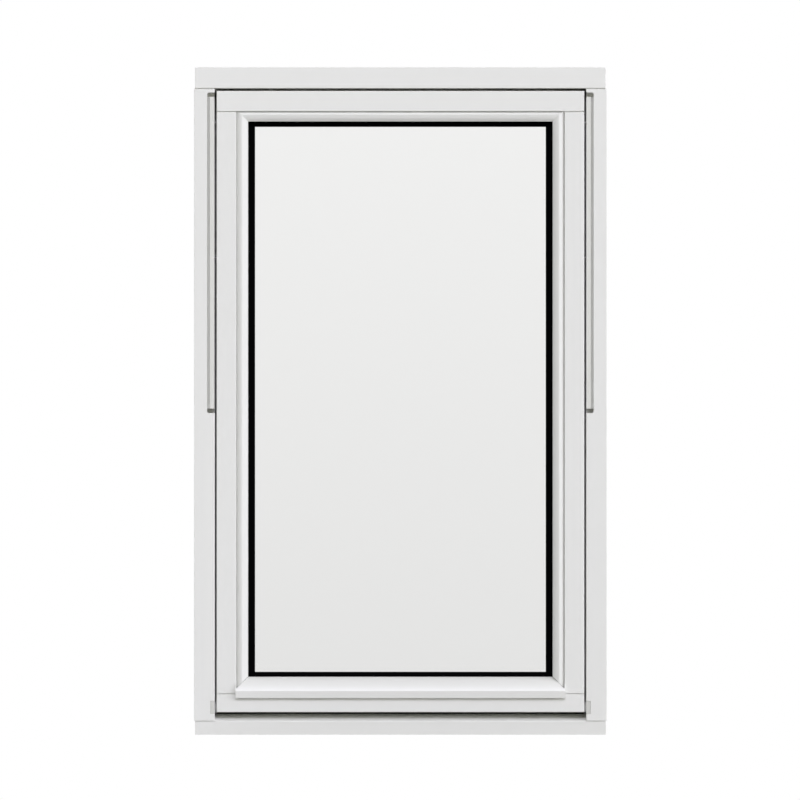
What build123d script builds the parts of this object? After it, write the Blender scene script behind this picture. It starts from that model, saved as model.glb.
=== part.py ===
from build123d import *
import os

os.makedirs("parts", exist_ok=True)

# Top swing window, closed. Outside faces -Y, up is +Z, millimetres.
# The origin is the middle of the sill's underside.

# frame
frame_width = 800.0
frame_height = 1300.0
frame_depth = 115.0
jamb_proud = 1.8
head_face = 41.4
jamb_face = 40.3
sill_nose = 27.3
sill_fall = 13.5
sill_run = 48.0
sill_rake = 2.2
stop_rise = 14.0
drip_inset = 14.0
drip_radius = 3.5
arris = 2.0
outer_arris = 0.8
joint_seam = 1.3
seam_depth = 4.0

# sash
side_clearance = 3.5
head_clearance = 4.8
sill_clearance = 3.1
seal_thickness = 5.0
seal_width = 7.0
seal_inset = 1.2
stile_face = 38.6
top_rail_face = 39.9
bottom_rail_face = 36.6
inner_chamfer = 5.0
sash_arris = 1.6
kerf_inset = 9.0
kerf_radius = 2.5

# glazing
bead_depth = 16.0
bead_width = 22.9
bead_round = 10.6
top_bead_width = 19.7
top_bead_round = 6.3
bead_quirk = 8.0
top_bead_quirk = 9.0
top_bead_nose = 4.0
nose_turn = 65.0
bead_facet_drop = 8.0
bead_facet_crown = 1.2
mitre_seam = 0.6
bottom_bead_rise = 32.4
lip_reach = 8.0
lip_rise = 4.4
lip_drop = 9.4
lip_thickness = 4.0
lip_hollow = 4.5
lip_end = 1.8
lip_rake = 1.2
lip_arris = 2.0
lip_low_arris = 1.0
slope_crown = 4.2
tape_thickness = 2.0
tape_inset = 1.5
pane_thickness = 4.0
cavity = 12.0
edge_cover = 11.0
edge_clearance = 3.0
side_band = 13.5
top_band = 10.5
bottom_band = 9.7
spacer_inset = 1.0
lip_depth = 12.0

# top swing gear in the jamb
groove_width = 14.8
groove_depth = 26.0
groove_length = 624.2
groove_top_inset = 7.8
groove_corner = 4.0
rail_end_clearance = 8.5
rail_setback = 2.0
rail_back_clearance = 2.0
rail_edge = 0.7
rail_flange = 8.7
rail_sheet = 2.0
rail_foot_setback = 11.0
stop_setback = 17.0
slider_length = 50.0
slider_clearance = 0.3
pivot_inset = 50.0
arm_inset = 30.0
arm_width = 14.0
arm_thickness = 3.0
arm_stand = 2.4
pin_radius = 2.5
plate_width = 16.0
plate_thickness = 3.0
plate_end = 12.0

# locking
strike_width = 9.0
strike_height = 25.7
strike_drop = 3.5
strike_depth = 40.0
strike_setback = 0.8
strike_edge = 1.0
bolt_height = 17.0
bolt_rise = 5.0
bolt_length = 20.0
bolt_setback = 9.0
bolt_embed = 10.0
bolt_throw = 2.2
bolt_slack = 0.4

# inside handle
base_length = 62.0
base_height = 28.0
base_thickness = 8.0
base_edge = 2.0
neck_radius = 8.0
lever_gap = 30.0
lever_thickness = 11.0
lever_length = 104.0
lever_root_radius = 10.5
lever_tip_radius = 8.0
lever_edge = 3.0

# fixing through the jambs
fixing_radius = 7.0
fixing_depth = 50.0
fixing_inset = 150.0

# planes across the depth, from the outside in
front = -frame_depth / 2
back = frame_depth / 2
bead_back = front + bead_depth
glass_front = bead_back + tape_thickness
pane_2_front = glass_front + pane_thickness + cavity
pane_3_front = pane_2_front + pane_thickness + cavity
glass_back = pane_3_front + pane_thickness
lip_front = glass_back + tape_thickness
sash_back = lip_front + lip_depth
stop_front = sash_back + seal_thickness

# lines across the width, from the outside to the glass
frame_half = frame_width / 2
jamb_outer = frame_half + jamb_proud
reveal = jamb_outer - jamb_face
sash_half = reveal - side_clearance
stile_in = sash_half - stile_face
sight_side = stile_in - bead_width
glass_half = sight_side + edge_cover
rebate_side = glass_half + edge_clearance
band_side = sight_side - side_band

# lines up the height
head_low = frame_height - head_face
sill_shoulder = sill_nose + sill_fall
sash_bottom = sill_shoulder + sill_clearance
sash_top = head_low - head_clearance
sill_top = sash_bottom + stop_rise - side_clearance
top_rail_low = sash_top - top_rail_face
sight_top = top_rail_low - top_bead_width
glass_top = sight_top + edge_cover
rebate_top = glass_top + edge_clearance
band_top = sight_top - top_band
bottom_rail_top = sash_bottom + bottom_rail_face
sight_bottom = bottom_rail_top + bottom_bead_rise
glass_bottom = sight_bottom - edge_cover
rebate_bottom = glass_bottom - edge_clearance
band_bottom = sight_bottom + bottom_band

# sections of the pieces that run through, as (y, z)
sill_outline = [
    (front + sill_rake, 0),
    (front, sill_nose),
    (front + sill_run, sill_shoulder),
    (stop_front, sill_shoulder),
    (stop_front, sill_top),
    (back, sill_top),
    (back, 0),
]
head_outline = [
    (front, head_low),
    (stop_front, head_low),
    (stop_front, head_low - stop_rise),
    (back, head_low - stop_rise),
    (back, frame_height),
    (front, frame_height),
]
top_rail_outline = [
    (front, sash_top),
    (front, top_rail_low),
    (bead_back, top_rail_low),
    (bead_back, rebate_top),
    (lip_front, rebate_top),
    (lip_front, sight_top),
    (sash_back - inner_chamfer, sight_top),
    (sash_back, sight_top + inner_chamfer),
    (sash_back, sash_top),
]
bottom_rail_outline = [
    (front, sash_bottom),
    (front, bottom_rail_top),
    (bead_back, bottom_rail_top),
    (bead_back, rebate_bottom),
    (lip_front, rebate_bottom),
    (lip_front, sight_bottom),
    (sash_back - inner_chamfer, sight_bottom),
    (sash_back, sight_bottom - inner_chamfer),
    (sash_back, sash_bottom),
]

# frame head, over the jambs
with BuildPart() as frame_head:
    with BuildSketch(Plane.YZ):
        with BuildLine():
            Polyline(*head_outline, close=True)
        make_face()
    extrude(amount=frame_half, both=True)
    fillet(frame_head.faces().sort_by(Axis.Y)[0].edges().sort_by(Axis.Z)[:1], radius=arris)
    fillet(frame_head.faces().sort_by(Axis.Y)[0].edges().sort_by(Axis.Z)[1:], radius=outer_arris)
    fillet(frame_head.faces().sort_by(Axis.Y)[-1].edges(), radius=arris)

# frame sill, with a sloped top and a drip groove below
with BuildPart() as frame_sill:
    with BuildSketch(Plane.YZ):
        with BuildLine():
            Polyline(*sill_outline, close=True)
        make_face()
        with Locations((front + drip_inset, 0)):
            Circle(drip_radius, mode=Mode.SUBTRACT)
    extrude(amount=frame_half, both=True)
    fillet(frame_sill.edges().filter_by(Axis.X).group_by(Axis.Y)[0].sort_by(Axis.Z)[-1:], radius=arris)
    fillet(frame_sill.faces().sort_by(Axis.Y)[-1].edges(), radius=arris)
    # open seams under the feet of the jambs
    with BuildSketch(Plane.XZ.offset(-front)):
        with Locations((-frame_half, sill_nose), (frame_half, sill_nose)):
            Rectangle(2 * (frame_half - reveal), 2 * joint_seam)
    extrude(amount=-seam_depth, mode=Mode.SUBTRACT)

# left jamb, scribed to the sill and the head
groove_top = head_low - groove_top_inset
groove_bottom = groove_top - groove_length
groove_middle = (groove_top + groove_bottom) / 2
strike_bottom = sash_bottom - strike_drop
strike_middle = strike_bottom + strike_height / 2
with BuildPart() as frame_jamb_left:
    with BuildSketch(Plane.XY.offset(sill_nose)):
        with BuildLine():
            Polyline(
                (-jamb_outer, front),
                (-reveal, front),
                (-reveal, stop_front),
                (-reveal + stop_rise, stop_front),
                (-reveal + stop_rise, back),
                (-jamb_outer, back),
                close=True,
            )
        make_face()
    extrude(amount=frame_height - sill_nose)
    with BuildSketch(Plane.YZ):
        with BuildLine():
            Polyline(*sill_outline, close=True)
        make_face()
        with BuildLine():
            Polyline(*head_outline, close=True)
        make_face()
    extrude(amount=frame_width, both=True, mode=Mode.SUBTRACT)
    # open seam under the head
    with BuildSketch(Plane.XZ.offset(-front)):
        with Locations((-frame_half, head_low)):
            Rectangle(4 * jamb_face, 2 * joint_seam)
    extrude(amount=-seam_depth, mode=Mode.SUBTRACT)
    face_edges = frame_jamb_left.faces().sort_by(Axis.Y)[0].edges().sort_by(Axis.Z)[1:]
    fillet(face_edges.sort_by(Axis.X)[1:], radius=arris)
    fillet(frame_jamb_left.faces().sort_by(Axis.Y)[0].edges().sort_by(Axis.X)[:1], radius=outer_arris)
    fillet(frame_jamb_left.faces().sort_by(Axis.Y)[-1].edges(), radius=arris)
    # milled groove for the hinge rail, open to the front and to the reveal
    with BuildSketch(Plane.XZ.offset(-front)) as groove_mouth:
        with Locations((-reveal, groove_middle)):
            Rectangle(2 * groove_width, groove_length)
        fillet(groove_mouth.vertices().group_by(Axis.X)[0], radius=groove_corner)
    extrude(amount=-groove_depth, mode=Mode.SUBTRACT)
    # pocket for the strike
    with BuildSketch(Plane.XZ.offset(-front)):
        with Locations((-reveal, strike_middle)):
            Rectangle(2 * strike_width, strike_height)
    extrude(amount=-strike_depth, mode=Mode.SUBTRACT)
    # holes for the frame fixings
    with BuildSketch(Plane.YZ.offset(-jamb_outer)):
        with Locations(
            (front + fixing_depth, fixing_inset), (front + fixing_depth, frame_height - fixing_inset)
        ):
            Circle(fixing_radius)
    extrude(amount=jamb_face, mode=Mode.SUBTRACT)

with BuildPart() as frame_jamb_right:
    mirror(frame_jamb_left.part, about=Plane.YZ)

# sash rails, which run through
with BuildPart() as sash_top_rail:
    with BuildSketch(Plane.YZ):
        with BuildLine():
            Polyline(*top_rail_outline, close=True)
        make_face()
    extrude(amount=sash_half, both=True)
    fillet(sash_top_rail.faces().sort_by(Axis.Y)[0].edges(), radius=sash_arris)

bolt_bottom = strike_bottom + bolt_rise
bolt_middle = bolt_bottom + bolt_height / 2
bolt_front = front + bolt_setback
with BuildPart() as sash_bottom_rail:
    with BuildSketch(Plane.YZ):
        with BuildLine():
            Polyline(*bottom_rail_outline, close=True)
        make_face()
        with Locations((front + kerf_inset, sash_bottom)):
            Circle(kerf_radius, mode=Mode.SUBTRACT)
    extrude(amount=sash_half, both=True)
    fillet(sash_bottom_rail.faces().sort_by(Axis.Y)[0].edges(), radius=sash_arris)
    # open seams under the feet of the stiles
    with BuildSketch(Plane.XZ.offset(-front)):
        with Locations((-sash_half, bottom_rail_top), (sash_half, bottom_rail_top)):
            Rectangle(2 * stile_face, 2 * joint_seam)
    extrude(amount=-seam_depth, mode=Mode.SUBTRACT)
    # pockets for the lock bolts
    with BuildSketch(Plane.XZ.offset(-bolt_front)):
        with Locations((-sash_half, bolt_middle), (sash_half, bolt_middle)):
            Rectangle(2 * bolt_embed, bolt_height)
    extrude(amount=-bolt_length, mode=Mode.SUBTRACT)

# hinge pivots
rail_bottom = groove_bottom + rail_end_clearance
rail_top = groove_top - rail_end_clearance
slider_pivot = rail_top - pivot_inset
frame_pivot = rail_bottom + arm_inset
arm_reach = (slider_pivot - frame_pivot) / 2
sash_pivot = frame_pivot + arm_reach
channel_front = front + rail_setback + rail_sheet
channel_back = front + groove_depth - rail_back_clearance - rail_sheet
gear_middle = (channel_front + channel_back) / 2
plate_bottom = sash_pivot - plate_end
plate_height = slider_pivot + plate_end - plate_bottom
plate_middle = plate_bottom + plate_height / 2

# left stile, scribed to the rails
with BuildPart() as sash_stile_left:
    with BuildSketch(Plane.XY.offset(sash_bottom)):
        with BuildLine():
            Polyline(
                (-sash_half, front),
                (-stile_in, front),
                (-stile_in, bead_back),
                (-rebate_side, bead_back),
                (-rebate_side, lip_front),
                (-sight_side, lip_front),
                (-sight_side, sash_back - inner_chamfer),
                (-sight_side - inner_chamfer, sash_back),
                (-sash_half, sash_back),
                close=True,
            )
        make_face()
    extrude(amount=sash_top - sash_bottom)
    with BuildSketch(Plane.YZ):
        with BuildLine():
            Polyline(*bottom_rail_outline, close=True)
        make_face()
        with BuildLine():
            Polyline(*top_rail_outline, close=True)
        make_face()
    extrude(amount=frame_width, both=True, mode=Mode.SUBTRACT)
    # open seam under the top rail
    with BuildSketch(Plane.XZ.offset(-front)):
        with Locations((-sash_half, top_rail_low)):
            Rectangle(4 * stile_face, 2 * joint_seam)
    extrude(amount=-seam_depth, mode=Mode.SUBTRACT)
    fillet(sash_stile_left.faces().sort_by(Axis.Y)[0].edges().sort_by(Axis.Z)[1:], radius=sash_arris)
    # recess for the sash plate of the hinge
    with BuildSketch(Plane.YZ.offset(-sash_half)):
        with Locations((gear_middle, plate_middle)):
            Rectangle(plate_width, plate_height)
    extrude(amount=plate_thickness, mode=Mode.SUBTRACT)

with BuildPart() as sash_stile_right:
    mirror(sash_stile_left.part, about=Plane.YZ)

# left glazing bead, mitred at both ends, with a hairline seam over the weather bead
with BuildPart() as glazing_bead_left:
    with BuildSketch(Plane.XY.offset(sight_bottom - bead_width)):
        with BuildLine():
            ridge = (-stile_in + bead_round, front)
            facet_foot = (-sight_side, front + bead_facet_drop)
            TangentArc(ridge, (-stile_in, front + bead_quirk), tangent=(-1, 0))
            Polyline(
                (-stile_in, front + bead_quirk),
                (-stile_in, bead_back),
                (-sight_side, bead_back),
                facet_foot,
            )
            SagittaArc(facet_foot, ridge, bead_facet_crown)
        make_face()
    extrude(amount=top_rail_low - sight_bottom + bead_width)
    with BuildSketch(Plane.XZ):
        with BuildLine():
            Polyline(
                (-sight_side, sight_top),
                (-sight_side - top_bead_width, top_rail_low),
                (-sight_side, top_rail_low),
                close=True,
            )
        make_face()
        with BuildLine():
            Polyline(
                (-sight_side, sight_bottom + mitre_seam),
                (-stile_in, sight_bottom + mitre_seam - bead_width),
                (-stile_in, sight_bottom - bead_width),
                (-sight_side, sight_bottom - bead_width),
                close=True,
            )
        make_face()
    extrude(amount=frame_depth, both=True, mode=Mode.SUBTRACT)

with BuildPart() as glazing_bead_right:
    mirror(glazing_bead_left.part, about=Plane.YZ)

# top glazing bead
mitre_far = stile_in + top_bead_width
with BuildPart() as glazing_bead_top:
    with BuildSketch(Plane.YZ):
        with BuildLine():
            top_ridge = (front, top_rail_low - top_bead_round)
            top_facet_foot = (front + bead_facet_drop, sight_top)
            nose = JernArc(top_ridge, (0, 1), top_bead_nose, -nose_turn)
            TangentArc(nose @ 1, (front + top_bead_quirk, top_rail_low), tangent=nose % 1)
            Polyline(
                (front + top_bead_quirk, top_rail_low),
                (bead_back, top_rail_low),
                (bead_back, sight_top),
                top_facet_foot,
            )
            SagittaArc(top_facet_foot, top_ridge, bead_facet_crown)
        make_face()
    extrude(amount=stile_in, both=True)
    with BuildSketch(Plane.XZ) as mitre_ends:
        with BuildLine():
            Polyline(
                (-sight_side, sight_top),
                (-sight_side - top_bead_width, top_rail_low),
                (-mitre_far, top_rail_low),
                (-mitre_far, sight_top),
                close=True,
            )
        make_face()
        mirror(about=Plane.YZ)
    extrude(amount=frame_depth, both=True, mode=Mode.SUBTRACT)

# bottom weather bead, with its lip over the sash face
lip_front_face = front - lip_reach
lip_bottom = bottom_rail_top - lip_drop
with BuildPart() as glazing_bead_bottom:
    with BuildSketch(Plane.YZ):
        with BuildLine():
            slope_top = (bead_back, sight_bottom)
            slope_foot = (lip_front_face, bottom_rail_top + lip_rise)
            SagittaArc(slope_foot, slope_top, slope_crown)
            Polyline(
                slope_foot,
                (lip_front_face + lip_rake, lip_bottom),
                (lip_front_face + lip_thickness, lip_bottom),
                (lip_front_face + lip_thickness, lip_bottom + lip_hollow),
                (front, lip_bottom + lip_hollow),
                (front, bottom_rail_top),
                (bead_back, bottom_rail_top),
                slope_top,
            )
        make_face()
    extrude(amount=stile_in + lip_end, both=True)
    fillet(glazing_bead_bottom.edges().filter_by(Axis.X).sort_by(Axis.Y)[:1], radius=lip_arris)
    lip_edges = glazing_bead_bottom.edges().filter_by(Axis.X).group_by(Axis.Z)[0]
    fillet(lip_edges.sort_by(Axis.Y)[:1], radius=lip_low_arris)
    with BuildSketch(Plane.XY) as end_steps:
        with Locations((-stile_in - lip_end, front + bead_depth)):
            Rectangle(2 * lip_end, 2 * bead_depth)
        mirror(about=Plane.YZ)
    extrude(amount=sight_bottom, mode=Mode.SUBTRACT)
    with BuildSketch(Plane.XZ) as mitre_corners:
        with BuildLine():
            Polyline(
                (-sight_side, sight_bottom),
                (-sight_side - 2 * bead_width, sight_bottom - 2 * bead_width),
                (-sight_side - 2 * bead_width, sight_bottom),
                close=True,
            )
        make_face()
        with Locations((-stile_in - bead_width / 2, sight_bottom - bead_width)):
            Rectangle(bead_width, 2 * bead_width, mode=Mode.SUBTRACT)
        mirror(about=Plane.YZ)
    extrude(amount=frame_depth, both=True, mode=Mode.SUBTRACT)

# glass unit
glass_height = glass_top - glass_bottom
glass_middle_height = (glass_top + glass_bottom) / 2
with BuildPart() as glass_outer:
    with BuildSketch(Plane.XZ.offset(-glass_front)):
        with Locations((0, glass_middle_height)):
            Rectangle(2 * glass_half, glass_height)
    extrude(amount=-pane_thickness)

with BuildPart() as glass_middle:
    with BuildSketch(Plane.XZ.offset(-pane_2_front)):
        with Locations((0, glass_middle_height)):
            Rectangle(2 * glass_half, glass_height)
    extrude(amount=-pane_thickness)

with BuildPart() as glass_inner:
    with BuildSketch(Plane.XZ.offset(-pane_3_front)):
        with Locations((0, glass_middle_height)):
            Rectangle(2 * glass_half, glass_height)
    extrude(amount=-pane_thickness)

band_height = band_top - band_bottom
band_middle = (band_top + band_bottom) / 2
with BuildPart() as spacer_outer:
    with BuildSketch(Plane.XZ.offset(-glass_front - pane_thickness)):
        with Locations((0, glass_middle_height)):
            Rectangle(2 * (glass_half - spacer_inset), glass_height - 2 * spacer_inset)
        with Locations((0, band_middle)):
            Rectangle(2 * band_side, band_height, mode=Mode.SUBTRACT)
    extrude(amount=-cavity)

with BuildPart() as spacer_inner:
    with BuildSketch(Plane.XZ.offset(-pane_2_front - pane_thickness)):
        with Locations((0, glass_middle_height)):
            Rectangle(2 * (glass_half - spacer_inset), glass_height - 2 * spacer_inset)
        with Locations((0, band_middle)):
            Rectangle(2 * band_side, band_height, mode=Mode.SUBTRACT)
    extrude(amount=-cavity)

sight_height = sight_top - sight_bottom
sight_middle = (sight_top + sight_bottom) / 2
with BuildPart() as glazing_tape_outer:
    with BuildSketch(Plane.XZ.offset(-bead_back)):
        with Locations((0, glass_middle_height)):
            Rectangle(2 * glass_half, glass_height)
        with Locations((0, sight_middle)):
            Rectangle(2 * (sight_side + tape_inset), sight_height + 2 * tape_inset, mode=Mode.SUBTRACT)
    extrude(amount=-tape_thickness)

with BuildPart() as glazing_tape_inner:
    with BuildSketch(Plane.XZ.offset(-glass_back)):
        with Locations((0, glass_middle_height)):
            Rectangle(2 * glass_half, glass_height)
        with Locations((0, sight_middle)):
            Rectangle(2 * (sight_side + tape_inset), sight_height + 2 * tape_inset, mode=Mode.SUBTRACT)
    extrude(amount=-tape_thickness)

# seal between the sash and the frame stop, which reaches down to the sill
seal_outer_half = sash_half - seal_inset
seal_top = sash_top - seal_inset
seal_hole_bottom = sash_bottom + seal_inset + seal_width
with BuildPart() as frame_seal:
    with BuildSketch(Plane.XZ.offset(-sash_back)):
        with Locations((0, (seal_top + sill_shoulder) / 2)):
            Rectangle(2 * seal_outer_half, seal_top - sill_shoulder)
        with Locations((0, (seal_top - seal_width + seal_hole_bottom) / 2)):
            Rectangle(
                2 * (seal_outer_half - seal_width),
                seal_top - seal_width - seal_hole_bottom,
                mode=Mode.SUBTRACT,
            )
    extrude(amount=-seal_thickness)

# left hinge rail: a channel with a foot against the groove wall
rail_height = rail_top - rail_bottom
flange_outer = reveal + rail_edge
flange_inner = flange_outer + rail_flange
rail_back = front + groove_depth - rail_back_clearance
with BuildPart() as hinge_rail_left:
    with BuildSketch(Plane.XY.offset(rail_bottom)):
        with BuildLine():
            Polyline(
                (-flange_outer, front + rail_setback),
                (-flange_inner, front + rail_setback),
                (-flange_inner, front + rail_foot_setback),
                (-reveal - groove_width, front + rail_foot_setback),
                (-reveal - groove_width, rail_back),
                (-flange_outer, rail_back),
                (-flange_outer, channel_back),
                (-flange_inner + rail_sheet, channel_back),
                (-flange_inner + rail_sheet, channel_front),
                (-flange_outer, channel_front),
                close=True,
            )
        make_face()
    extrude(amount=rail_height)
    # stop block deep in the groove over the rail
    with BuildSketch(Plane.XZ.offset(-front - stop_setback)) as stop_block:
        with Locations((-(flange_outer + reveal + groove_width) / 2, (rail_top + groove_top) / 2)):
            Rectangle(groove_width - rail_edge, groove_top - rail_top)
        fillet(stop_block.vertices().group_by(Axis.X)[0].sort_by(Axis.Y)[-1:], radius=groove_corner)
    extrude(amount=front + stop_setback - rail_back)

with BuildPart() as hinge_rail_right:
    mirror(hinge_rail_left.part, about=Plane.YZ)

# slider at the top of the channel, with its pin to the sash plate
channel_floor = flange_inner - rail_sheet
with BuildPart() as hinge_slider_left:
    with BuildSketch(Plane.YZ.offset(-channel_floor)):
        with Locations((gear_middle, slider_pivot)):
            Rectangle(channel_back - channel_front - 2 * slider_clearance, slider_length)
    extrude(amount=channel_floor - flange_outer)
    with BuildSketch(Plane.YZ.offset(-flange_outer)):
        with Locations((gear_middle, slider_pivot)):
            Circle(pin_radius)
    extrude(amount=flange_outer - sash_half)

with BuildPart() as hinge_slider_right:
    mirror(hinge_slider_left.part, about=Plane.YZ)

# arm from the rail's lower end to the sash plate
with BuildPart() as hinge_arm_left:
    with BuildSketch(Plane.YZ.offset(-channel_floor)):
        with Locations((gear_middle, frame_pivot)):
            Circle(pin_radius)
    extrude(amount=arm_stand)
    with BuildSketch(Plane.YZ.offset(-channel_floor + arm_stand)):
        with Locations(Location((gear_middle, frame_pivot + arm_reach / 2), 90)):
            SlotCenterToCenter(arm_reach, arm_width)
    extrude(amount=arm_thickness)
    with BuildSketch(Plane.YZ.offset(-channel_floor + arm_stand + arm_thickness)):
        with Locations((gear_middle, sash_pivot)):
            Circle(pin_radius)
    extrude(amount=channel_floor - arm_stand - arm_thickness - sash_half)

with BuildPart() as hinge_arm_right:
    mirror(hinge_arm_left.part, about=Plane.YZ)

# plate let into the edge of the stile
with BuildPart() as sash_plate_left:
    with BuildSketch(Plane.YZ.offset(-sash_half)):
        with Locations((gear_middle, plate_middle)):
            Rectangle(plate_width, plate_height)
    extrude(amount=plate_thickness)

with BuildPart() as sash_plate_right:
    mirror(sash_plate_left.part, about=Plane.YZ)

# strike in the jamb and the bolt that enters it
strike_front = front + strike_setback
with BuildPart() as strike_left:
    with BuildSketch(Plane.XZ.offset(-strike_front)):
        with Locations((-reveal - strike_width / 2, strike_middle)):
            Rectangle(strike_width, strike_height)
    extrude(amount=-strike_depth + strike_setback)
    fillet(strike_left.faces().sort_by(Axis.Y)[0].edges(), radius=strike_edge)
    # pocket that holds the bolt, closed at the front
    with BuildSketch(Plane.XZ.offset(bolt_slack - bolt_front)):
        with Locations((-reveal, bolt_middle)):
            Rectangle(2 * (bolt_throw + bolt_slack), bolt_height + 2 * bolt_slack)
    extrude(amount=-bolt_length - 2 * bolt_slack, mode=Mode.SUBTRACT)

with BuildPart() as strike_right:
    mirror(strike_left.part, about=Plane.YZ)

bolt_span = bolt_embed + side_clearance + bolt_throw
with BuildPart() as lock_bolt_left:
    with BuildSketch(Plane.XZ.offset(-bolt_front)):
        with Locations((-reveal - bolt_throw + bolt_span / 2, bolt_middle)):
            Rectangle(bolt_span, bolt_height)
    extrude(amount=-bolt_length)

with BuildPart() as lock_bolt_right:
    mirror(lock_bolt_left.part, about=Plane.YZ)

# inside handle, in the middle of what shows of the bottom rail
handle_height = (sill_top + sight_bottom - inner_chamfer) / 2
with BuildPart() as handle_base:
    with BuildSketch(Plane.XZ.offset(-sash_back)):
        with Locations((0, handle_height)):
            SlotOverall(base_length, base_height)
    extrude(amount=-base_thickness)
    fillet(handle_base.faces().sort_by(Axis.Y)[-1].edges(), radius=base_edge)

base_back = sash_back + base_thickness
lever_front = sash_back + lever_gap
with BuildPart() as handle_lever:
    with BuildSketch(Plane.XZ.offset(-lever_front)):
        with Locations((0, handle_height)):
            Circle(lever_root_radius)
        with Locations((lever_length, handle_height)):
            Circle(lever_tip_radius)
        make_hull()
    extrude(amount=-lever_thickness)
    fillet(handle_lever.faces().sort_by(Axis.Y)[-1].edges(), radius=lever_edge)
    fillet(handle_lever.faces().sort_by(Axis.Y)[0].edges(), radius=lever_edge)
    with BuildSketch(Plane.XZ.offset(-base_back)):
        with Locations((0, handle_height)):
            Circle(neck_radius)
    extrude(amount=base_back - lever_front)

pieces = {
    "frame_head": frame_head,
    "frame_sill": frame_sill,
    "frame_jamb_left": frame_jamb_left,
    "frame_jamb_right": frame_jamb_right,
    "sash_top_rail": sash_top_rail,
    "sash_bottom_rail": sash_bottom_rail,
    "sash_stile_left": sash_stile_left,
    "sash_stile_right": sash_stile_right,
    "glazing_bead_top": glazing_bead_top,
    "glazing_bead_left": glazing_bead_left,
    "glazing_bead_right": glazing_bead_right,
    "glazing_bead_bottom": glazing_bead_bottom,
    "glass_outer": glass_outer,
    "glass_middle": glass_middle,
    "glass_inner": glass_inner,
    "spacer_outer": spacer_outer,
    "spacer_inner": spacer_inner,
    "glazing_tape_outer": glazing_tape_outer,
    "glazing_tape_inner": glazing_tape_inner,
    "frame_seal": frame_seal,
    "hinge_rail_left": hinge_rail_left,
    "hinge_rail_right": hinge_rail_right,
    "hinge_slider_left": hinge_slider_left,
    "hinge_slider_right": hinge_slider_right,
    "hinge_arm_left": hinge_arm_left,
    "hinge_arm_right": hinge_arm_right,
    "sash_plate_left": sash_plate_left,
    "sash_plate_right": sash_plate_right,
    "strike_left": strike_left,
    "strike_right": strike_right,
    "lock_bolt_left": lock_bolt_left,
    "lock_bolt_right": lock_bolt_right,
    "handle_base": handle_base,
    "handle_lever": handle_lever,
}
for label, piece in pieces.items():
    piece.part.label = label
    export_step(piece.part, f"parts/{label}.step")
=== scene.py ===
import bpy
import math
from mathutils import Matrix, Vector


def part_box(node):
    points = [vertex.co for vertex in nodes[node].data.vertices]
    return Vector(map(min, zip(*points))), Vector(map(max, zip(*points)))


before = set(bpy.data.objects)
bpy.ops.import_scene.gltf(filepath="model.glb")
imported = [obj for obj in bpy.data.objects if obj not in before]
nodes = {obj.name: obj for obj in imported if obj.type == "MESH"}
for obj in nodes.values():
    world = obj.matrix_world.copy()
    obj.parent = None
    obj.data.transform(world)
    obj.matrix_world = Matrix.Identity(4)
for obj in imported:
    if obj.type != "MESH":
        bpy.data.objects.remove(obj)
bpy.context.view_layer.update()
scene = bpy.context.scene
print("frame loaded:", len(nodes), "nodes")


def hexColour(code):  # sRGB hex to the linear colour that the shaders take
    out = []
    for start in (0, 2, 4):
        level = int(code[start:start + 2], 16) / 255
        out.append(level / 12.92 if level <= 0.04045 else ((level + 0.055) / 1.055) ** 2.4)
    return (*out, 1.0)


def addNode(tree, kind, settings=None, links=None):
    made = tree.nodes.new(kind)
    for name, value in (settings or {}).items():
        if isinstance(name, int) or name in made.inputs:
            made.inputs[name].default_value = value
        else:
            setattr(made, name, value)
    for name, source in (links or {}).items():
        tree.links.new(source, made.inputs[name])
    return made


def newMaterial(name):
    material = bpy.data.materials.new(name)
    material.use_nodes = True
    material.node_tree.nodes.clear()
    return material, material.node_tree


def giveMaterial(material, names):
    for name in names:
        mesh = nodes[name].data
        mesh.materials.clear()
        mesh.materials.append(material)


# white factory paint on planed pine: a thick even film with a low satin sheen, the grain under it barely felt
timberPaint = {
    "colour": ("E5E5E1", "E3E3DF"),
    "roughness": (0.52, 0.60),  # the film is a little uneven in its sheen
    "ior": 1.48,
    "grainWidth": 0.005,        # 5 mm between growth lines
    "grainLength": 0.16,        # a line runs on for about 160 mm
    "grainHeight": 0.00003,
    "grainDetail": 3.0,
    "grainBreakUp": 0.55,       # how strong the finer lines between the growth lines are
    "peelSize": 0.0016,         # spray peel, drawn at 1.6 mm
    "peelHeight": 0.000012,
    "peelDetail": 1.0,
}


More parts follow.
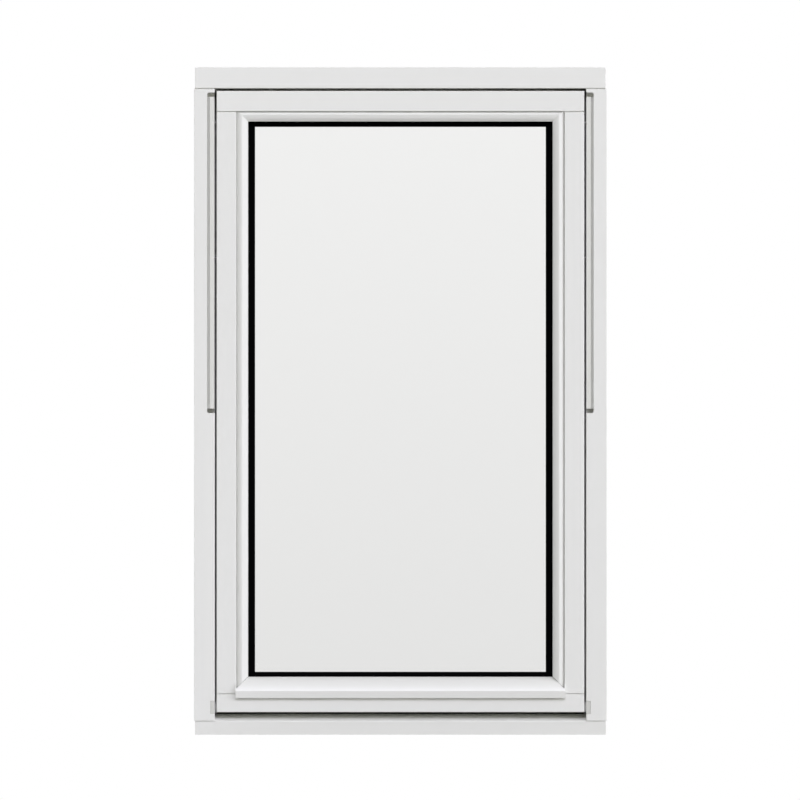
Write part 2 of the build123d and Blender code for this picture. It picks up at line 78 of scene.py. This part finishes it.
def paintedTimber(name, along):
    look = timberPaint
    material, tree = newMaterial(name)
    coords = addNode(tree, "ShaderNodeTexCoord")
    across = 1 / look["grainWidth"]
    lengthwise = 1 / look["grainLength"]
    scale = (lengthwise, across, across) if along == "x" else (across, across, lengthwise)
    grainPlace = addNode(tree, "ShaderNodeMapping", {"Scale": scale}, {"Vector": coords.outputs["Object"]})
    grain = addNode(tree, "ShaderNodeTexNoise",
                    {"Scale": 1.0, "Detail": look["grainDetail"], "Roughness": look["grainBreakUp"]},
                    {"Vector": grainPlace.outputs["Vector"]})
    peel = addNode(tree, "ShaderNodeTexNoise", {"Scale": 1 / look["peelSize"], "Detail": look["peelDetail"]},
                   {"Vector": coords.outputs["Object"]})
    colour = addNode(tree, "ShaderNodeMix", {"data_type": "RGBA", 6: hexColour(look["colour"][0]),
                                             7: hexColour(look["colour"][1])}, {0: grain.outputs["Fac"]})
    sheen = addNode(tree, "ShaderNodeMapRange",
                    {"To Min": look["roughness"][0], "To Max": look["roughness"][1]},
                    {"Value": grain.outputs["Fac"]})
    grainBump = addNode(tree, "ShaderNodeBump", {"Strength": 1.0, "Distance": look["grainHeight"]},
                        {"Height": grain.outputs["Fac"]})
    peelBump = addNode(tree, "ShaderNodeBump", {"Strength": 1.0, "Distance": look["peelHeight"]},
                       {"Height": peel.outputs["Fac"], "Normal": grainBump.outputs["Normal"]})
    paint = addNode(tree, "ShaderNodeBsdfPrincipled", {"IOR": look["ior"]},
                    {"Base Color": colour.outputs[2], "Roughness": sheen.outputs["Result"],
                     "Normal": peelBump.outputs["Normal"]})
    addNode(tree, "ShaderNodeOutputMaterial", {}, {"Surface": paint.outputs["BSDF"]})
    return material


giveMaterial(paintedTimber("whitePaintedPineUpright", "z"),
             ["frame_jamb_left", "frame_jamb_right", "sash_stile_left", "sash_stile_right",
              "glazing_bead_left", "glazing_bead_right"])
giveMaterial(paintedTimber("whitePaintedPineAcross", "x"),
             ["frame_head", "frame_sill", "sash_top_rail", "sash_bottom_rail", "glazing_bead_top"])


# a finish with a skin of fine bumps as wide as its grit, whose colour and roughness wander between two values
# from patch to patch
def skinMaterial(name, look):
    material, tree = newMaterial(name)
    coords = addNode(tree, "ShaderNodeTexCoord")
    stretch = addNode(tree, "ShaderNodeMapping", {"Scale": look.get("stretch", (1, 1, 1))},
                      {"Vector": coords.outputs["Object"]})
    grit = addNode(tree, "ShaderNodeTexNoise", {"Scale": 1 / look["gritSize"]},
                   {"Vector": stretch.outputs["Vector"]})
    patch = addNode(tree, "ShaderNodeTexNoise", {"Scale": 1 / look["patchSize"]},
                    {"Vector": stretch.outputs["Vector"]})
    colour = addNode(tree, "ShaderNodeMix", {"data_type": "RGBA", 6: hexColour(look["colour"][0]),
                                             7: hexColour(look["colour"][1])}, {0: patch.outputs["Fac"]})
    rough = addNode(tree, "ShaderNodeMapRange",
                    {"To Min": look["roughness"][0], "To Max": look["roughness"][1]},
                    {"Value": patch.outputs["Fac"]})
    bump = addNode(tree, "ShaderNodeBump", {"Strength": 1.0, "Distance": look["gritHeight"]},
                   {"Height": grit.outputs["Fac"]})
    skin = addNode(tree, "ShaderNodeBsdfPrincipled",
                   {"Metallic": look.get("metallic", 0.0), "IOR": look.get("ior", 1.5)},
                   {"Base Color": colour.outputs[2], "Roughness": rough.outputs["Result"],
                    "Normal": bump.outputs["Normal"]})
    addNode(tree, "ShaderNodeOutputMaterial", {}, {"Surface": skin.outputs["BSDF"]})
    return material


# white powder coat on the extruded bottom bead: closer and glossier than the timber paint
powderCoat = {"colour": ("E4E4E0", "E3E3DF"), "roughness": (0.34, 0.38), "gritSize": 0.0022,
              "gritHeight": 0.000008, "patchSize": 0.03}
giveMaterial(skinMaterial("whitePowderCoat", powderCoat), ["glazing_bead_bottom"])

# pale grey coated steel of the hinge rails: a thin matt film
railCoat = {"colour": ("DCDCD6", "DADAD4"), "roughness": (0.38, 0.46), "gritSize": 0.0018,
            "gritHeight": 0.000008, "patchSize": 0.02}
giveMaterial(skinMaterial("paleGreyCoatedSteel", railCoat), ["hinge_rail_left", "hinge_rail_right"])

# moulded acetal: pale grey strikes and darker grey sliders, with a spark-eroded skin, slightly waxy
strikeAcetal = {"colour": ("CECEC8", "CACAC4"), "roughness": (0.45, 0.55), "gritSize": 0.0006,
                "gritHeight": 0.00001, "patchSize": 0.008, "ior": 1.48}
sliderAcetal = {**strikeAcetal, "colour": ("9A9A97", "A0A09C")}
giveMaterial(skinMaterial("paleGreyAcetal", strikeAcetal), ["strike_left", "strike_right"])
giveMaterial(skinMaterial("midGreyAcetal", sliderAcetal), ["hinge_slider_left", "hinge_slider_right"])

# EPDM seal and foam tape: soft black rubber with a grey bloom
rubber = {"colour": ("121212", "191918"), "roughness": (0.7, 0.85), "gritSize": 0.0005,
          "gritHeight": 0.00002, "patchSize": 0.012}
giveMaterial(skinMaterial("blackEpdmRubber", rubber),
             ["glazing_tape_outer", "glazing_tape_inner", "frame_seal"])

# warm-edge spacer backed with butyl: dead matt black
spacer = {"colour": ("030303", "050505"), "roughness": (0.85, 0.95), "gritSize": 0.0008,
          "gritHeight": 0.00001, "patchSize": 0.01, "ior": 1.2}
giveMaterial(skinMaterial("mattBlackEdgeSpacer", spacer), ["spacer_outer", "spacer_inner"])

# zinc plated steel: a dull silver with cloudy passivation
zinc = {"colour": ("B6B7B5", "C8C8C6"), "roughness": (0.32, 0.46), "gritSize": 0.0012,
        "gritHeight": 0.000006, "patchSize": 0.006, "metallic": 1.0}
giveMaterial(skinMaterial("zincPlatedSteel", zinc),
             ["sash_plate_left", "sash_plate_right", "lock_bolt_left", "lock_bolt_right"])

# zinc phosphated spring steel of the hinge arms: a dry mid grey
phosphate = {"colour": ("969694", "A2A2A0"), "roughness": (0.5, 0.65), "gritSize": 0.0009,
             "gritHeight": 0.000008, "patchSize": 0.006}
giveMaterial(skinMaterial("phosphatedSteel", phosphate), ["hinge_arm_left", "hinge_arm_right"])

# satin anodised aluminium handle: brushed along the lever before anodising
anodised = {"colour": ("C4C4C2", "CECECC"), "roughness": (0.36, 0.46), "gritSize": 0.0004,
            "gritHeight": 0.000004, "patchSize": 0.002, "stretch": (0.04, 1, 1), "metallic": 1.0}
giveMaterial(skinMaterial("satinAnodisedAluminium", anodised), ["handle_base", "handle_lever"])

# clear float glass with a low-reflection coat, and lamps let through so that it casts no solid shadow
glassLook = {"colour": "FDFDFD", "ior": 1.35}
material, tree = newMaterial("clearFloatGlass")
path = addNode(tree, "ShaderNodeLightPath")
pane = addNode(tree, "ShaderNodeBsdfPrincipled",
               {"Base Color": hexColour(glassLook["colour"]), "Roughness": 0.0, "IOR": glassLook["ior"],
                "Transmission Weight": 1.0})
clear = addNode(tree, "ShaderNodeBsdfTransparent", {"Color": hexColour(glassLook["colour"])})
mix = addNode(tree, "ShaderNodeMixShader", {}, {0: path.outputs["Is Shadow Ray"], 1: pane.outputs["BSDF"],
                                                2: clear.outputs["BSDF"]})
addNode(tree, "ShaderNodeOutputMaterial", {}, {"Surface": mix.outputs["Shader"]})
giveMaterial(material, ["glass_outer", "glass_middle", "glass_inner"])
print("materials given")

# the stage: a pale floor, a graded card that only the glass shows, a black flag behind the camera that
# keeps reflections off the panes, and a dim scrim over each side of the glass that bounced light alone meets,
# which paints shade onto the beads next to the panes
studio = {
    "floorColour": "E0E0DB",   # as it is seen
    "floorBounce": "BEBEBC",   # as it lights the part, so that undersides keep their shade
    "floorSize": 60.0,
    "cardTop": "F8F8F7",
    "cardBottom": "E9E9E8",
    "cardHigh": 1.2,           # the heights between which the card is graded
    "cardLow": 0.1,
    "cardAway": 3.0,
    "flagAway": 8.0,
    "flagSize": 5.0,
    "scrimColour": "202020",
    "scrimGap": 0.001,
}


def addPlane(name, width, height, place, upright=True):
    turn = (math.pi / 2, 0, 0) if upright else (0, 0, 0)
    bpy.ops.mesh.primitive_plane_add(size=1, location=place, rotation=turn)
    plane = bpy.context.object
    plane.name = name
    plane.scale = (width, height, 1)
    return plane


def onlySeenBy(plane, kind):
    plane.visible_camera = False
    plane.visible_shadow = False
    plane.visible_diffuse = kind == "diffuse"
    plane.visible_glossy = kind == "glossy"
    plane.visible_transmission = kind == "transmission"


def glowMaterial(name, colour):
    material, tree = newMaterial(name)
    glow = addNode(tree, "ShaderNodeEmission", {"Color": colour, "Strength": 1.0})
    addNode(tree, "ShaderNodeOutputMaterial", {}, {"Surface": glow.outputs["Emission"]})
    return material


def seenRays(tree):  # 1 for a ray from the camera, a reflection or the glass, 0 for bounced light
    path = addNode(tree, "ShaderNodeLightPath")
    seen = path.outputs["Is Camera Ray"]
    for kind in ("Is Glossy Ray", "Is Transmission Ray"):
        larger = addNode(tree, "ShaderNodeMath", {"operation": "MAXIMUM"}, {0: seen, 1: path.outputs[kind]})
        seen = larger.outputs[0]
    return seen


floor = addPlane("floor", studio["floorSize"], studio["floorSize"], (0, 0, 0), upright=False)
material, tree = newMaterial("paleFloor")
tone = addNode(tree, "ShaderNodeMix", {"data_type": "RGBA", 6: hexColour(studio["floorBounce"]),
                                       7: hexColour(studio["floorColour"])}, {0: seenRays(tree)})
matt = addNode(tree, "ShaderNodeBsdfDiffuse", {}, {"Color": tone.outputs[2]})
addNode(tree, "ShaderNodeOutputMaterial", {}, {"Surface": matt.outputs["BSDF"]})
floor.data.materials.append(material)

# painted light: a glowing card, seen only through the glass, lighter at the top and darker at the bottom
card = addPlane("gradedCard", studio["floorSize"], studio["floorSize"], (0, studio["cardAway"], 0))
material, tree = newMaterial("gradedCard")
spot = addNode(tree, "ShaderNodeNewGeometry")
height = addNode(tree, "ShaderNodeSeparateXYZ", {}, {"Vector": spot.outputs["Position"]})
share = addNode(tree, "ShaderNodeMapRange", {"From Min": studio["cardLow"], "From Max": studio["cardHigh"]},
                {"Value": height.outputs["Z"]})
grade = addNode(tree, "ShaderNodeMix", {"data_type": "RGBA", 6: hexColour(studio["cardBottom"]),
                                        7: hexColour(studio["cardTop"])}, {0: share.outputs["Result"]})
shine = addNode(tree, "ShaderNodeEmission", {"Strength": 1.0}, {"Color": grade.outputs[2]})
addNode(tree, "ShaderNodeOutputMaterial", {}, {"Surface": shine.outputs["Emission"]})
card.data.materials.append(material)
onlySeenBy(card, "transmission")

flag = addPlane("blackFlag", studio["flagSize"], studio["flagSize"], (0, -studio["flagAway"], 0))
flag.data.materials.append(glowMaterial("blackFlag", (0, 0, 0, 1)))
onlySeenBy(flag, "glossy")

# dark sheets that only bounced light meets: painted shade on the beads next to the glass
shadeScrimMaterial = glowMaterial("paintedShadeScrim", hexColour(studio["scrimColour"]))
outerLow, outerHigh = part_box("glass_outer")
innerLow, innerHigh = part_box("glass_inner")
for name, depth in (("scrimOutside", outerLow[1] - studio["scrimGap"]),
                    ("scrimInside", innerHigh[1] + studio["scrimGap"])):
    scrim = addPlane(name, outerHigh[0] - outerLow[0], outerHigh[2] - outerLow[2],
                     (0, depth, (outerLow[2] + outerHigh[2]) / 2))
    scrim.data.materials.append(shadeScrimMaterial)
    onlySeenBy(scrim, "diffuse")

# soft daylight: a sky that is brighter low down than overhead, a key lamp from the right, a fill from
# the front and one for the room side
light = {
    "skyColour": "FFFFE8",
    "skyLow": 0.85,
    "skyHigh": 0.15,
    "skyLean": 0.6,            # how much brighter the sky is on the right and dimmer on the left
    "lampColour": "ECECFF",
    "lamps": {
        "keyLight": {"from": (0.87, -0.44, 0.21), "strength": 1.97, "angle": 60.0},
        "fillLight": {"from": (0.0, -0.80, 0.60), "strength": 1.30, "angle": 25.0},
        "roomLight": {"from": (-0.55, 0.71, 0.44), "strength": 1.95, "angle": 70.0},
    },
}
world = bpy.data.worlds.new("studio")
scene.world = world
world.use_nodes = True
tree = world.node_tree
tree.nodes.clear()
coords = addNode(tree, "ShaderNodeTexCoord")
heading = addNode(tree, "ShaderNodeSeparateXYZ", {}, {"Vector": coords.outputs["Generated"]})
level = addNode(tree, "ShaderNodeMapRange", {"To Min": light["skyLow"], "To Max": light["skyHigh"]},
                {"Value": heading.outputs["Z"]})
lean = addNode(tree, "ShaderNodeMath", {"operation": "MULTIPLY_ADD", 1: light["skyLean"], 2: 1.0},
               {0: heading.outputs["X"]})
leaned = addNode(tree, "ShaderNodeMath", {"operation": "MULTIPLY"},
                 {0: level.outputs["Result"], 1: lean.outputs[0]})
sky = addNode(tree, "ShaderNodeBackground", {"Color": hexColour(light["skyColour"])},
              {"Strength": leaned.outputs[0]})
white = addNode(tree, "ShaderNodeBackground", {"Color": (1, 1, 1, 1), "Strength": 1.0})
both = addNode(tree, "ShaderNodeMixShader", {}, {0: seenRays(tree), 1: sky.outputs["Background"],
                                                 2: white.outputs["Background"]})
addNode(tree, "ShaderNodeOutputWorld", {}, {"Surface": both.outputs["Shader"]})

for name, plan in light["lamps"].items():
    lamp = bpy.data.lights.new(name, "SUN")
    lamp.energy = plan["strength"]
    lamp.angle = math.radians(plan["angle"])
    lamp.color = hexColour(light["lampColour"])[:3]
    holder = bpy.data.objects.new(name, lamp)
    scene.collection.objects.link(holder)
    holder.rotation_euler = Vector(plan["from"]).to_track_quat("Z", "Y").to_euler()
scene.view_settings.view_transform = "Standard"
print("stage lit")

# the photo is square on and has no perspective, so the camera is orthographic
shot = {"mmPerPixel": 1.9474, "pixels": 800, "middleX": -0.0008, "middleZ": 0.6519, "away": 6.0}
camera = bpy.data.objects.new("camera", bpy.data.cameras.new("camera"))
scene.collection.objects.link(camera)
camera.data.type = "ORTHO"
camera.data.ortho_scale = shot["pixels"] * shot["mmPerPixel"] / 1000
camera.location = (shot["middleX"], -shot["away"], shot["middleZ"])
camera.rotation_euler = (math.pi / 2, 0, 0)
scene.camera = camera
